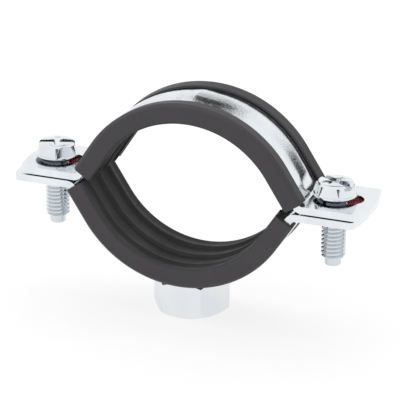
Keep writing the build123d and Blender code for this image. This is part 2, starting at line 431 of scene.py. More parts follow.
@dataclass
class NodeBoard:
    """A node tree being wired.

    Attributes:
        tree: The tree.
    """

    tree: bpy.types.NodeTree

    @classmethod
    def clear(cls, owner: bpy.types.ID) -> "NodeBoard":
        """The board of a material's or a world's own tree, emptied."""
        owner.use_nodes = True
        owner.node_tree.nodes.clear()
        return cls(owner.node_tree)

    def link(self, source: bpy.types.NodeSocket, target: bpy.types.NodeSocket) -> None:
        """Links two sockets."""
        self.tree.links.new(source, target)

    def add(
        self, kind: str, settings: dict[str, object] | None = None, **inputs: object
    ) -> bpy.types.Node:
        """Adds a node, sets it up and feeds its inputs.

        Args:
            kind: Type of the node.
            settings: Its own properties by name.
            **inputs: A socket to link or a value to set, by input name with _ for a space, or
                by i and the input's number.

        Returns:
            The node.
        """
        node = self.tree.nodes.new(kind)
        for key, value in (settings or {}).items():
            setattr(node, key, value)
        self.feed(node, **inputs)
        return node

    def feed(self, node: bpy.types.Node, **inputs: object) -> None:
        """Links or sets a node's inputs, named as add takes them."""
        for key, value in inputs.items():
            by_number = key[0] == "i" and key[1:].isdigit()
            socket = node.inputs[int(key[1:]) if by_number else key.replace("_", " ")]
            if isinstance(value, bpy.types.NodeSocket):
                self.link(value, socket)
            else:
                socket.default_value = value

    def bump(
        self, height: bpy.types.NodeSocket, depth: float, under: bpy.types.NodeSocket | None = None
    ) -> bpy.types.NodeSocket:
        """The normal of a relief so many metres deep, laid over another normal if there is one."""
        node = self.add("ShaderNodeBump", None, Strength=1.0, Distance=depth, Height=height)
        if under:
            self.link(under, node.inputs["Normal"])
        return node.outputs[0]

    def math(self, operation: str, first: object, second: object = 0.0) -> bpy.types.NodeSocket:
        """A Math node's result."""
        return self.add("ShaderNodeMath", {"operation": operation}, i0=first, i1=second).outputs[0]

    def mix(self, factor: object, first: object, second: object) -> bpy.types.NodeSocket:
        """A colour mix's result."""
        node = self.add("ShaderNodeMix", {"data_type": "RGBA"}, i0=factor, i6=first, i7=second)
        return node.outputs[2]

    def span(
        self, value: object, low: float, high: float, to_low: float, to_high: float
    ) -> bpy.types.NodeSocket:
        """A value mapped from one span to another and held there."""
        node = self.add(
            "ShaderNodeMapRange", {"clamp": True}, Value=value, From_Min=low, From_Max=high,
            To_Min=to_low, To_Max=to_high,
        )
        return node.outputs[0]

    def noise(
        self, vector: object, size: object, detail: float = 2.0, roughness: float = 0.5
    ) -> bpy.types.NodeSocket:
        """A noise texture's value, with features of a size."""
        scale = self.math("DIVIDE", 1.0, size)
        node = self.add(
            "ShaderNodeTexNoise", None, Vector=vector, Scale=scale, Detail=detail, Roughness=roughness
        )
        return node.outputs[0]


def new_group(
    name: str, inputs: dict[str, float | None], outputs: Sequence[str]
) -> tuple[NodeBoard, bpy.types.Node, bpy.types.Node]:
    """Starts a shader node group.

    Args:
        name: Name of the group.
        inputs: Each input's name and value; None makes it a vector.
        outputs: Names of the outputs, which are all values.

    Returns:
        The board, its input node and its output node.
    """
    tree = bpy.data.node_groups.new(name, "ShaderNodeTree")
    for label, value in inputs.items():
        kind = "NodeSocketVector" if value is None else "NodeSocketFloat"
        socket = tree.interface.new_socket(name=label, in_out="INPUT", socket_type=kind)
        if value is not None:
            socket.default_value = value
    for label in outputs:
        tree.interface.new_socket(name=label, in_out="OUTPUT", socket_type="NodeSocketFloat")
    board = NodeBoard(tree)
    return board, board.add("NodeGroupInput"), board.add("NodeGroupOutput")


def plated_surface() -> bpy.types.NodeTree:
    """The group for zinc plate: crystal grain, slow waviness and cloudy film.

    Returns:
        A group with the outputs Height and Cloud; its vector is in millimetres.
    """
    board, given, result = new_group(
        "plated_surface",
        {"Vector": None, "Grain Size": 0.4, "Wave Size": 3.0, "Wave Share": 0.5, "Cloud Size": 6.0},
        ("Height", "Cloud"),
    )
    vector = given.outputs["Vector"]
    grain = board.noise(vector, given.outputs["Grain Size"], 3.0, 0.6)
    wave = board.noise(vector, given.outputs["Wave Size"], 1.0, 0.4)
    cloud = board.noise(vector, given.outputs["Cloud Size"], 2.0, 0.5)
    swell = board.math("MULTIPLY", wave, given.outputs["Wave Share"])
    board.link(board.math("ADD", grain, swell), result.inputs["Height"])
    board.link(board.span(cloud, 0.35, 0.65, 0.0, 1.0), result.inputs["Cloud"])
    return board.tree


def drawn_lines() -> bpy.types.NodeTree:
    """The group for fine lines drawn along one direction by rolling, turning or extrusion.

    Returns:
        A group with the output Lines; its vector is in millimetres, and Stretch lengthens along X.
    """
    board, given, result = new_group(
        "drawn_lines", {"Vector": None, "Line Size": 0.25, "Stretch": 40.0}, ("Lines",)
    )
    shrink = board.math("DIVIDE", 1.0, given.outputs["Stretch"])
    squeeze = board.add("ShaderNodeCombineXYZ", None, X=shrink, Y=1.0, Z=1.0).outputs[0]
    vector = board.add(
        "ShaderNodeVectorMath", {"operation": "MULTIPLY"}, i0=given.outputs["Vector"], i1=squeeze
    ).outputs[0]
    board.link(board.noise(vector, given.outputs["Line Size"], 4.0, 0.65), result.inputs["Lines"])
    return board.tree


def moulded_skin() -> bpy.types.NodeTree:
    """The group for rubber and plastic: fine pores, and a faint bloom in broad patches.

    Returns:
        A group with the outputs Height and Bloom; its vector is in millimetres.
    """
    board, given, result = new_group(
        "moulded_skin", {"Vector": None, "Pore Size": 0.12, "Bloom Size": 5.0}, ("Height", "Bloom")
    )
    vector = given.outputs["Vector"]
    bloom = board.noise(vector, given.outputs["Bloom Size"], 4.0, 0.55)
    board.link(board.noise(vector, given.outputs["Pore Size"], 3.0, 0.7), result.inputs["Height"])
    board.link(board.span(bloom, 0.38, 0.68, 0.0, 1.0), result.inputs["Bloom"])
    return board.tree


PLATED_SURFACE = plated_surface()
DRAWN_LINES = drawn_lines()
MOULDED_SKIN = moulded_skin()


# Finishes


Colour = tuple[float, float, float, float]
WHITE: Colour = (1.0, 1.0, 1.0, 1.0)


@dataclass(frozen=True)
class Finish:
    """What every finish has.

    Attributes:
        name: Name of the material.
        centre: Place that the pattern is centred on, in millimetres.
    """

    name: str
    centre: tuple[float, float, float] = (0.0, 0.0, 0.0)

    def start(self) -> tuple[bpy.types.Material, NodeBoard, bpy.types.Node, bpy.types.NodeSocket]:
        """Makes the material with its shader.

        Returns:
            The material, its board, the Principled shader, and object coordinates in millimetres.
        """
        material = bpy.data.materials.new(self.name)
        board = NodeBoard.clear(material)
        shader = board.add("ShaderNodeBsdfPrincipled")
        board.add("ShaderNodeOutputMaterial", None, Surface=shader.outputs[0])
        place = board.add("ShaderNodeTexCoord").outputs["Object"]
        scale = 1.0 / MM
        mapping = board.add(
            "ShaderNodeMapping", None, Vector=place, Scale=(scale, scale, scale),
            Location=tuple(-value for value in self.centre),
        )
        return material, board, shader, mapping.outputs[0]


@dataclass(frozen=True)
class ZincFinish(Finish):
    """Bright zinc plate over steel.

    Attributes:
        bright: Colour of the clean plate.
        film: Colour where the clear film over the plate is thicker.
        gloss: Roughness of the clean plate.
        haze: Roughness where the film is thicker.
        grain_size: Size of the crystal grain.
        grain_depth: Height of the grain, in metres.
        wave_size: Size of the slow waviness.
        wave_share: Waviness against grain.
        cloud_size: Size of the film's clouds.
        line_depth: Height of the drawn lines, in metres.
        line_size: Spacing of the drawn lines.
        calm_from: Distance from the middle, along X, where the grain starts to calm down.
        calm_reach: How much further out it has calmed down.
        calm_share: Share of the grain that is left there.
        dull: Colour of the plate below dull_below.
        dull_below: Height under which the plate is dull, in millimetres.
        shade: Colour painted as shade on the plate between shade_low and shade_high, such as under a screw
            head's collar.
        shade_low: Lowest height of that painted shade, in millimetres.
        shade_high: Highest height of that painted shade.
        edge: Height over which one colour gives way to the next.
    """

    bright: Colour = (0.83, 0.86, 0.87, 1.0)
    film: Colour = (0.76, 0.79, 0.83, 1.0)
    gloss: float = 0.09
    haze: float = 0.15
    grain_size: float = 0.42
    grain_depth: float = 7.5e-5
    wave_size: float = 3.0
    wave_share: float = 1.0
    calm_from: float = 24.0
    calm_reach: float = 6.0
    calm_share: float = 0.12
    dull: Colour = (0.66, 0.70, 0.73, 1.0)
    dull_below: float = -100.0
    # Painted shade: colour given to the plate between shade_low and shade_high.
    shade: Colour = (0.12, 0.14, 0.17, 1.0)
    shade_low: float = -200.0
    shade_high: float = -190.0
    edge: float = 0.05
    cloud_size: float = 6.0
    line_depth: float = 1.0e-6
    line_size: float = 0.2

    def build(self) -> bpy.types.Material:
        """Makes the material."""
        material, board, shader, place = self.start()
        plate = board.add(
            "ShaderNodeGroup", {"node_tree": PLATED_SURFACE}, Vector=place, Grain_Size=self.grain_size,
            Wave_Size=self.wave_size, Wave_Share=self.wave_share, Cloud_Size=self.cloud_size,
        )
        lines = board.add(
            "ShaderNodeGroup", {"node_tree": DRAWN_LINES}, Vector=place, Line_Size=self.line_size
        ).outputs["Lines"]
        cloud = plate.outputs["Cloud"]
        split = board.add("ShaderNodeSeparateXYZ", None, Vector=place)
        height = split.outputs["Z"]
        colour = board.mix(cloud, self.bright, self.film)
        low = board.span(height, self.dull_below - 4 * self.edge, self.dull_below, 1.0, 0.0)
        colour = board.mix(low, colour, self.dull)
        # Painted shade: the plate between shade_low and shade_high takes the shade colour.
        above = board.span(height, self.shade_low, self.shade_low + self.edge, 0.0, 1.0)
        below = board.span(height, self.shade_high, self.shade_high + self.edge, 1.0, 0.0)
        colour = board.mix(board.math("MULTIPLY", above, below), colour, self.shade)
        roughness = board.span(cloud, 0.0, 1.0, self.gloss, self.haze)
        side = board.math("ABSOLUTE", split.outputs["X"])
        calm = board.span(side, self.calm_from, self.calm_from + self.calm_reach, 1.0, self.calm_share)
        grain = board.math("MULTIPLY", plate.outputs["Height"], calm)
        normal = board.bump(grain, self.grain_depth, board.bump(lines, self.line_depth))
        board.feed(shader, Metallic=1.0, Base_Color=colour, Roughness=roughness, Normal=normal)
        return material


@dataclass(frozen=True)
class RubberFinish(Finish):
    """Extruded black rubber, with lines along the strip and a faint grey bloom.

    Attributes:
        black: Colour of the clean rubber.
        bloomed: Colour where it has bloomed.
        inner: Colour of the ribbed face, painted darker as shade inside the ring.
        inner_width: Half width of the ribbed face, in millimetres.
        inner_radius: Radius that the ribbed face stays within.
        roughness: Roughness of the clean rubber.
        pore_depth: Height of the pores, in metres.
        line_depth: Height of the extrusion lines, in metres.
    """

    black: Colour = (0.0365, 0.0333, 0.0370, 1.0)
    bloomed: Colour = (0.046, 0.0425, 0.0465, 1.0)
    # Painted shade: darker colour for the ribbed face inside the ring.
    inner: Colour = (0.019, 0.0178, 0.0195, 1.0)
    inner_width: float = 9.4
    inner_radius: float = 26.5
    roughness: float = 0.52
    pore_depth: float = 4.0e-6
    line_depth: float = 5.0e-6

    def build(self) -> bpy.types.Material:
        """Makes the material."""
        material, board, shader, place = self.start()
        skin = board.add(
            "ShaderNodeGroup", {"node_tree": MOULDED_SKIN}, Vector=place, Pore_Size=0.12, Bloom_Size=5.0
        )
        split = board.add("ShaderNodeSeparateXYZ", None, Vector=place)
        flat = board.add("ShaderNodeCombineXYZ", None, X=split.outputs["X"], Y=split.outputs["Z"], Z=0.0)
        radius = board.add("ShaderNodeVectorMath", {"operation": "LENGTH"}, i0=flat.outputs[0]).outputs[1]
        across = board.add("ShaderNodeCombineXYZ", None, X=0.0, Y=radius, Z=split.outputs["Y"])
        lines = board.add(
            "ShaderNodeGroup", {"node_tree": DRAWN_LINES}, Vector=across.outputs[0], Line_Size=0.3
        ).outputs["Lines"]
        bloom = skin.outputs["Bloom"]
        colour = board.mix(bloom, self.black, self.bloomed)
        # Painted shade: the ribbed face within inner_width and inner_radius takes the darker inner colour.
        wall = board.math("ABSOLUTE", split.outputs["Y"])
        beside = board.span(wall, self.inner_width, self.inner_width + 0.1, 1.0, 0.0)
        within = board.span(radius, self.inner_radius, self.inner_radius + 0.1, 1.0, 0.0)
        colour = board.mix(board.math("MULTIPLY", beside, within), colour, self.inner)
        roughness = board.span(bloom, 0.0, 1.0, self.roughness, self.roughness + 0.12)
        normal = board.bump(skin.outputs["Height"], self.pore_depth, board.bump(lines, self.line_depth))
        board.feed(shader, Base_Color=colour, Roughness=roughness, Normal=normal)
        return material


@dataclass(frozen=True)
class PlasticFinish(Finish):
    """Moulded red plastic.

    Attributes:
        red: Colour of the plastic.
        dull: Colour of its duller patches.
        roughness: Its roughness.
        pore_depth: Height of the pores, in metres.
    """

    red: Colour = (0.78, 0.11, 0.10, 1.0)
    dull: Colour = (0.60, 0.08, 0.08, 1.0)
    roughness: float = 0.4
    pore_depth: float = 3.0e-6

    def build(self) -> bpy.types.Material:
        """Makes the material."""
        material, board, shader, place = self.start()
        skin = board.add(
            "ShaderNodeGroup", {"node_tree": MOULDED_SKIN}, Vector=place, Pore_Size=0.2, Bloom_Size=2.0
        )
        colour = board.mix(skin.outputs["Bloom"], self.red, self.dull)
        normal = board.bump(skin.outputs["Height"], self.pore_depth)
        board.feed(shader, Base_Color=colour, Roughness=self.roughness, Normal=normal)
        return material


# The clamp's halves


@dataclass(frozen=True)
class Roll:
    """The path that a half's strip and rubber follow, seen along the pipe, in millimetres.

    Attributes:
        drop: How far the arc's centre lies past the split plane.
        half_angle: Degrees of arc on each side of the middle.
        pipe_radius: Radius of the pipe.
        inner: Inner radius of the strip.
        thickness: Thickness of the strip.
        width: Width of the strip.
        flange_gap: Gap between the flanges.
    """

    drop: float = 5.75
    half_angle: float = 57.0
    pipe_radius: float = 24.15
    inner: float = 26.6
    thickness: float = 1.8
    width: float = 18.6
    flange_gap: float = 0.4

    @property
    def outer(self) -> float:
        """Outer radius of the strip."""
        return self.inner + self.thickness

    def run_to(self, radius: float, height: float) -> float:
        """Length of straight past the arc that brings a radius down to a height.

        Args:
            radius: Radius in the arc.
            height: Height above the split plane.

        Returns:
            The run in millimetres.
        """
        turn = math.radians(self.half_angle)
        return (radius * math.cos(turn) - self.drop - height) / math.sin(turn)

    def set_up(self, piece: Workpiece, half: Half, shift: float, turn: float) -> None:
        """Turns a piece made about the arc's centre into its place in a half.

        Args:
            piece: The workpiece.
            half: The half that it belongs to.
            shift: Shift along X.
            turn: Degrees from the piece's zero to its place, towards +X.
        """
        piece.place(turn=Vector((0, turn, 0)), move=Vector((shift, 0, -self.drop)))
        if half is Half.LOWER:
            piece.flip()


ROLL = Roll()


@dataclass
class Band:
    """A half's steel strip: rolled arc with its bead, straight runs, bends and flanges.

    Attributes:
        half: Which half it is.
        material: Its finish.
        shift: Shift along X.
        screw_x: Distance of each screw from the middle.
        reach: Distance from the strip's own middle to the crest of a flange's end.
    """

    half: Half
    material: bpy.types.Material
    shift: float
    screw_x: float
    reach: float
    bead_height: float = 0.82
    bead_crest: float = 6.8
    bead_flank: float = 1.4
    crown: float = 0.22
    crown_flat: float = 0.18
    crown_middle: float = 0.55
    crown_start: float = 0.28
    crest_round: float = 1.2
    foot_round: float = 0.5
    inner_crest_round: float = 0.4
    inner_foot_round: float = 0.6
    bead_straight: float = 3.6
    crease_height: float = 0.28
    crease_reach: float = 3.2
    bend_radius: float = 1.0
    flange_crown: float = 1.2
    flange_corner: float = 0.8
    plan_depth: float = 40.0
    hole_length: float = 11.0
    hole_width: float = 6.9
    collar_radius: float = 4.3
    collar_length: float = 1.6
    collar_root: float = 0.5
    collar_flare: float = 0.45
    collar_round: float = 0.3
    collar_mouth: float = 0.5
    thread_hole: float = 3.04
    edge_break: float = 0.16

    def section(self) -> list[Vector]:
        """Corners of the strip's section where the bead is full."""
        edge, outer, inner = ROLL.width / 2, ROLL.outer, ROLL.inner
        crest = self.bead_crest / 2
        foot = crest + self.bead_flank
        slope = math.atan2(self.bead_height, self.bead_flank)
        inner_crest = crest - ROLL.thickness * math.tan(slope / 2)
        inner_foot = inner_crest + self.bead_flank
        raised = self.bead_height
        half = [
            (edge, outer), (foot, outer), (crest, outer + raised - self.crown),
            (crest * self.crown_middle, outer + raised - self.crown * self.crown_start),
            (crest * self.crown_flat, outer + raised),
        ]
        under = [(inner_crest, inner + raised), (inner_foot, inner), (edge, inner)]
        left_top = [(-across, height) for across, height in half]
        left_under = [(-across, height) for across, height in reversed(under)]
        loop = left_top + list(reversed(half)) + list(reversed(under)) + list(reversed(left_under))
        return [Vector((0, across, height)) for across, height in loop]

    def blank(self) -> Workpiece:
        """The whole strip of an upper half, centred on X = 0, before holes and ends are cut."""
        outer, inner, edge = ROLL.outer, ROLL.inner, ROLL.width / 2
        strip = Workpiece(f"{self.half.value}_band_skin")
        strip.trace(self.section())
        shoulder = self.bead_crest / 2 - 0.3
        strip.round_corners(
            lambda place: place.z > outer + 0.4 and abs(place.y) > shoulder, self.crest_round, 7
        )
        inside = edge - 1
        strip.round_corners(
            lambda place: abs(place.z - outer) < MERGE and abs(place.y) < inside, self.foot_round, 4
        )
        strip.round_corners(
            lambda place: inner + 0.5 < place.z < outer - 0.3, self.inner_crest_round, 4
        )
        strip.round_corners(
            lambda place: abs(place.z - inner) < MERGE and abs(place.y) < inside,
            self.inner_foot_round, 4,
        )
        run = 0.0
        self._advance(strip, run, self.bead_straight)
        run = self.bead_straight
        bend_start = ROLL.run_to(outer, ROLL.flange_gap / 2 + ROLL.thickness)
        bend_start -= self.bend_radius * math.tan(math.radians(ROLL.half_angle / 2))
        run = self._fade(strip, run, bend_start - 0.3)
        self._advance(strip, run, bend_start - run)
        self._pick_cap(strip, bend_start)
        strip.spin(
            -ROLL.half_angle, Vector((0, 1, 0)),
            Vector((bend_start, 0, outer + self.bend_radius)), 16,
        )
        turn = math.radians(ROLL.half_angle)
        strip.extrude(Vector((math.cos(turn), 0, math.sin(turn))) * self.reach / 2)
        self._pick_cap(strip, 0.0)
        strip.spin(-ROLL.half_angle, Vector((0, 1, 0)), Vector(), 64)
        bpy.ops.mesh.delete(type="ONLY_FACE")
        strip.merge()
        strip.close()
        strip.place(turn=Vector((0, ROLL.half_angle, 0)), move=Vector((0, 0, -ROLL.drop)))
        strip.modify("MIRROR", use_axis=(True, False, False), use_clip=True, merge_threshold=0.01)
        self._crease(strip)
        return strip

    def _crease(self, strip: Workpiece) -> None:
        """Lifts the bead along the faint crease across the middle of the strip."""
        floor = ROLL.inner + self.bead_height * 0.6 - ROLL.drop
        across = self.bead_crest / 2
        strip.open()
        strip.pick(
            Pick.VERTICES,
            lambda place: abs(place.x) < MERGE and place.z > floor and abs(place.y) < across,
        )
        bpy.ops.transform.translate(
            value=(0, 0, self.crease_height), use_proportional_edit=True,
            proportional_edit_falloff="LINEAR", proportional_size=self.crease_reach,
        )
        strip.close()

    def _pick_cap(self, strip: Workpiece, run: float) -> None:
        """Selects the open end that stands square across the straight at a run."""
        strip.pick(Pick.VERTICES, lambda place: abs(place.x - run) < MERGE)

    def _advance(self, strip: Workpiece, run: float, travel: float) -> None:
        """Lengthens the straight from a run by a travel."""
        self._pick_cap(strip, run)
        strip.extrude(Vector((travel, 0, 0)))

    def _fade(self, strip: Workpiece, run: float, end: float, steps: int = 10) -> float:
        """Lets the bead run out along the straight.

        Args:
            strip: The strip, open in edit mode.
            run: Where the bead is still full.
            end: Where it has gone.
            steps: Segments of the run-out.

        Returns:
            The run that was reached.
        """
        outer, inner = ROLL.outer, ROLL.inner
        before = 1.0
        travel = (end - run) / steps
        for step in range(1, steps + 1):
            self._advance(strip, run, travel)
            run += travel
            share = step / steps
            after = 1.0 - share * share * (3.0 - 2.0 * share)
            ratio = after / before if before else 0.0
            for base, top in ((outer, outer + 2), (inner, outer - 0.1)):
                strip.pick(
                    Pick.VERTICES,
                    lambda place, base=base, top=top, run=run:
                        abs(place.x - run) < MERGE and base + MERGE / 8 < place.z < top,
                )
                bpy.ops.transform.resize(value=(1, 1, ratio), center_override=(0, 0, base))
            before = after
        return run

    def trim_ends(self, strip: Workpiece) -> None:
        """Cuts the flanges' rounded ends."""
        crown, depth = self.flange_crown, self.plan_depth
        corner = self.reach - crown
        chord = ROLL.width / 2
        radius = (chord * chord + crown * crown) / (2 * crown)
        centre = self.reach - radius
        steps = 24
        arc = []
        for step in range(steps + 1):
            across = -chord + 2 * chord * step / steps
            arc.append(Vector((centre + math.sqrt(radius * radius - across * across), across, -depth)))
        right = [Vector((corner, -chord, -depth))] + arc[1:-1] + [Vector((corner, chord, -depth))]
        left = [Vector((-point.x, -point.y, point.z)) for point in right]
        plan = Workpiece("flange_plan")
        plan.trace(right + left)
        plan.round_corners(
            lambda place: abs(abs(place.y) - chord) < MERGE and abs(place.x) > corner - 0.01,
            self.flange_corner, 5,
        )
        bpy.ops.mesh.select_all(action="SELECT")
        plan.extrude(Vector((0, 0, 2 * depth)))
        plan.merge()
        plan.close()
        strip.cut(plan, Cut.KEEP_SHARED)

    def slotted_holes(self, strip: Workpiece) -> None:
        """Punches the slotted hole for each screw."""
        for side in (-1, 1):
            punch = primitive(
                "slot_punch", bpy.ops.mesh.primitive_cylinder_add, vertices=64,
                radius=self.hole_width / 2, depth=10, location=(side * self.screw_x, 0, 0),
            )
            punch.open()
            stretch = (self.hole_length - self.hole_width) / 2
            for way in (-1, 1):
                middle = side * self.screw_x
                punch.pick(Pick.VERTICES, lambda place, way=way: way * (place.x - middle) > MERGE)
                bpy.ops.transform.translate(value=(way * stretch, 0, 0))
            punch.close()
            strip.cut(punch, Cut.AWAY)

    def tapped_collars(self, strip: Workpiece) -> None:
        """Draws the collar for each screw's thread, on the side that faces away from the gap."""
        back = ROLL.flange_gap / 2 + ROLL.thickness
        top = back + self.collar_length
        for side in (-1, 1):
            move = Vector((side * self.screw_x, 0, 0))
            root, flare = back - self.collar_root, self.collar_radius + self.collar_flare
            collar = lathe(
                "collar",
                [(0, root), (flare, root), (flare, back),
                 (self.collar_radius, back + self.collar_flare), (self.collar_radius, top), (0, top)],
                64, {3: self.collar_round, 4: self.collar_round},
            )
            collar.place(move=move)
            strip.cut(collar, Cut.WELD)
            hole, mouth = self.thread_hole, self.thread_hole + self.collar_mouth
            bore = lathe(
                "collar_bore",
                [(0, -1), (hole, -1), (hole, top + 0.1 - self.collar_mouth), (mouth, top + 0.1),
                 (mouth, top + 1), (0, top + 1)],
                64,
            )
            bore.place(move=move)
            strip.cut(bore, Cut.AWAY)

    def build(self) -> None:
        """Makes the strip, dresses it and mounts it."""
        strip = self.blank()
        self.trim_ends(strip)
        if self.half is Half.UPPER:
            self.slotted_holes(strip)
            strip.place(move=Vector((self.shift, 0, 0)))
        else:
            self.tapped_collars(strip)
            strip.flip()
        strip.soften(self.edge_break, angle=50, segments=3)
        strip.deliver(self.material, Slot.STRIP, self.half.body, f"{self.half.value}_band")


@dataclass
class Liner:
    """A half's rubber channel: ribs towards the pipe, lips over the strip's edges.

    Attributes:
        half: Which half it is.
        material: Its finish.
        shift: Shift along X.
        creep: How far the rubber sits along its strip, towards +X.
    """

    half: Half
    material: bpy.types.Material
    shift: float
    creep: float
    side: float = 0.8
    fit: float = 0.06
    lip_thickness: float = 0.9
    lip_reach: float = 3.2
    lip_taper: float = 0.2
    shoulder: float = 0.8
    end_height: float = 0.36
    rib_pitch: float = 6.0
    rib_depth: float = 0.85
    rib_crest: float = 0.6
    rib_flank: float = 0.5
    dip_depth: float = 0.45
    dip_flank: float = 1.1
    edge_land: float = 0.1
    edge_bevel: float = 0.6
    rib_round: float = 0.1
    groove_round: float = 0.28
    dip_round: float = 0.5
    edge_round: float = 0.22
    lip_round: float = 0.18
    tip_round: float = 0.2

    def section(self) -> list[Vector]:
        """Corners of the channel's section, about the arc's centre."""
        pipe, outer, inner = ROLL.pipe_radius, ROLL.outer, ROLL.inner
        strip_edge = ROLL.width / 2
        side = strip_edge + self.side
        lip_top = outer + self.fit + self.lip_thickness
        rib = self.rib_crest / 2
        right = [
            (rib, pipe),
            (rib + self.rib_flank, pipe + self.rib_depth),
            (self.rib_pitch - rib - self.rib_flank, pipe + self.rib_depth),
            (self.rib_pitch - rib, pipe),
            (self.rib_pitch + rib, pipe),
            (self.rib_pitch + rib + self.dip_flank, pipe + self.dip_depth),
            (side - self.edge_bevel - self.dip_flank, pipe + self.dip_depth),
            (side - self.edge_bevel, pipe + self.edge_land),
            (side, pipe + self.edge_bevel),
            (side, lip_top - self.shoulder),
            (side - self.shoulder, lip_top),
            (strip_edge - self.lip_reach, lip_top - self.lip_taper),
            (strip_edge - self.lip_reach, outer + self.fit),
            (strip_edge + self.fit, outer + self.fit),
            (strip_edge + self.fit, inner - self.fit),
        ]
        left = [(-across, height) for across, height in reversed(right)]
        return [Vector((0, across, height)) for across, height in right + left]

    def soften_section(self, strip: Workpiece) -> None:
        """Rounds the corners that the die leaves round."""
        pipe = ROLL.pipe_radius
        groove = pipe + self.rib_depth
        side = ROLL.width / 2 + self.side
        lip_top = ROLL.outer + self.fit + self.lip_thickness
        tip = ROLL.width / 2 - self.lip_reach
        near = MERGE * 2
        for height, radius in (
            (pipe, self.rib_round), (groove, self.groove_round), (pipe + self.dip_depth, self.dip_round),
            (pipe + self.edge_land, self.edge_round),
        ):
            strip.round_corners(lambda place, height=height: abs(place.z - height) < near, radius)
        strip.round_corners(
            lambda place: abs(abs(place.y) - side) < near and place.z < ROLL.inner, self.edge_round
        )
        strip.round_corners(
            lambda place: abs(abs(place.y) - side) < near and place.z > ROLL.outer - 1, self.lip_round
        )
        strip.round_corners(lambda place: abs(place.z - lip_top) < near, self.lip_round)
        strip.round_corners(lambda place: abs(abs(place.y) - tip) < near, self.tip_round)

    def build(self) -> None:
        """Makes the channel, dresses it and mounts it."""
        straight = ROLL.run_to(ROLL.pipe_radius, self.end_height)
        sweep = 2 * ROLL.half_angle
        strip = Workpiece(f"{self.half.value}_liner_skin")
        strip.trace(self.section())
        self.soften_section(strip)
        bpy.ops.mesh.select_all(action="SELECT")
        strip.spin(sweep, Vector((0, 1, 0)), Vector(), 114)
        turn = math.radians(sweep)
        strip.extrude(Vector((math.cos(turn), 0, -math.sin(turn))) * (straight + self.creep))
        strip.pick(Pick.VERTICES, lambda place: abs(place.x) < MERGE and place.z > 0)
        strip.extrude(Vector((-(straight - self.creep), 0, 0)))
        strip.merge()
        strip.close()
        ROLL.set_up(strip, self.half, self.shift, -ROLL.half_angle)
        strip.deliver(self.material, Slot.RUBBER, self.half.body, f"{self.half.value}_liner")


# Fasteners


@dataclass
class ConnectionNut:
    """Hexagonal nut under the lower half, threaded M10 at its mouth and M8 behind it.

    Attributes:
        material: Its finish.
        face: Height of its bottom face.
    """

    material: bpy.types.Material
    face: float
    across_flats: float = 17.0
    turn: float = 4.0
    lip_gap: float = 0.1
    lip_outer: float = 29.36
    bottom_inset: float = 0.5
    top_overhang: float = 0.7
    chamfer_angle: float = 30.0
    neck_radius: float = 5.7
    neck_bite: float = 0.35
    neck_root: float = 0.6
    mouth_depth: float = 4.6
    inner_depth: float = 8.0
    relief_radius: float = 4.0
    mouth_radius: float = 5.35
    mouth_inmost: float = 4.25
    edge_break: float = 0.12

    def body(self) -> Workpiece:
        """The chamfered hexagon with its neck."""
        top = ROLL.drop - self.lip_outer - self.lip_gap
        neck_top = ROLL.drop - ROLL.outer + self.neck_bite
        corner = self.across_flats / math.sqrt(3)
        nut = primitive(
            "connection_nut_skin", bpy.ops.mesh.primitive_cylinder_add, vertices=6, radius=corner,
            depth=top - self.face, location=(0, 0, (top + self.face) / 2),
            rotation=(0, 0, math.radians(30 + self.turn)),
        )
        slope = math.tan(math.radians(self.chamfer_angle))
        low = self.across_flats / 2 - self.bottom_inset
        high = self.across_flats / 2 + self.top_overhang
        blank = lathe(
            "nut_chamfers",
            [(0, self.face), (low, self.face), (corner + 1, self.face + slope * (corner + 1 - low)),
             (corner + 1, top - slope * (corner + 1 - high)), (high, top), (0, top)],
            180,
        )
        nut.cut(blank, Cut.KEEP_SHARED)
        nut.soften(self.edge_break, angle=22)
        nut.cut(disc("nut_neck", self.neck_radius, top - self.neck_root, neck_top, 96), Cut.WELD)
        return nut

    def bore(self, nut: Workpiece) -> None:
        """Cuts both threads, the relief behind them and the countersink at the mouth."""
        step = self.face + self.mouth_depth
        end = self.face + self.inner_depth
        through = ROLL.drop - ROLL.outer + 2
        for name, major, pitch, low, high in (
            ("mouth_thread", 10.0, 1.5, self.face - 1, step), ("inner_thread", 8.0, 1.25, step - 0.6, end),
        ):
            rod = threaded_rod(name, major, pitch, low, high)
            reach = major / 2 + 0.05
            rod.cut(disc(f"{name}_blank", reach, low, high), Cut.KEEP_SHARED)
            nut.cut(rod, Cut.AWAY)
        nut.cut(disc("relief", self.relief_radius, end - 0.2, through), Cut.AWAY)
        mouth, inmost = self.mouth_radius, self.mouth_inmost
        foot, high = self.face - 1, self.face + mouth - inmost
        sink = lathe(
            "countersink",
            [(0, foot), (mouth + 1, foot), (mouth, self.face), (inmost, high), (0, high)], 96,
        )
        nut.cut(sink, Cut.AWAY)

    def build(self) -> None:
        """Makes the nut, dresses it and mounts it."""
        nut = self.body()
        self.bore(nut)
        nut.deliver(self.material, Slot.NUT, Body.LOWER_HALF, "connection_nut", smooth=28)


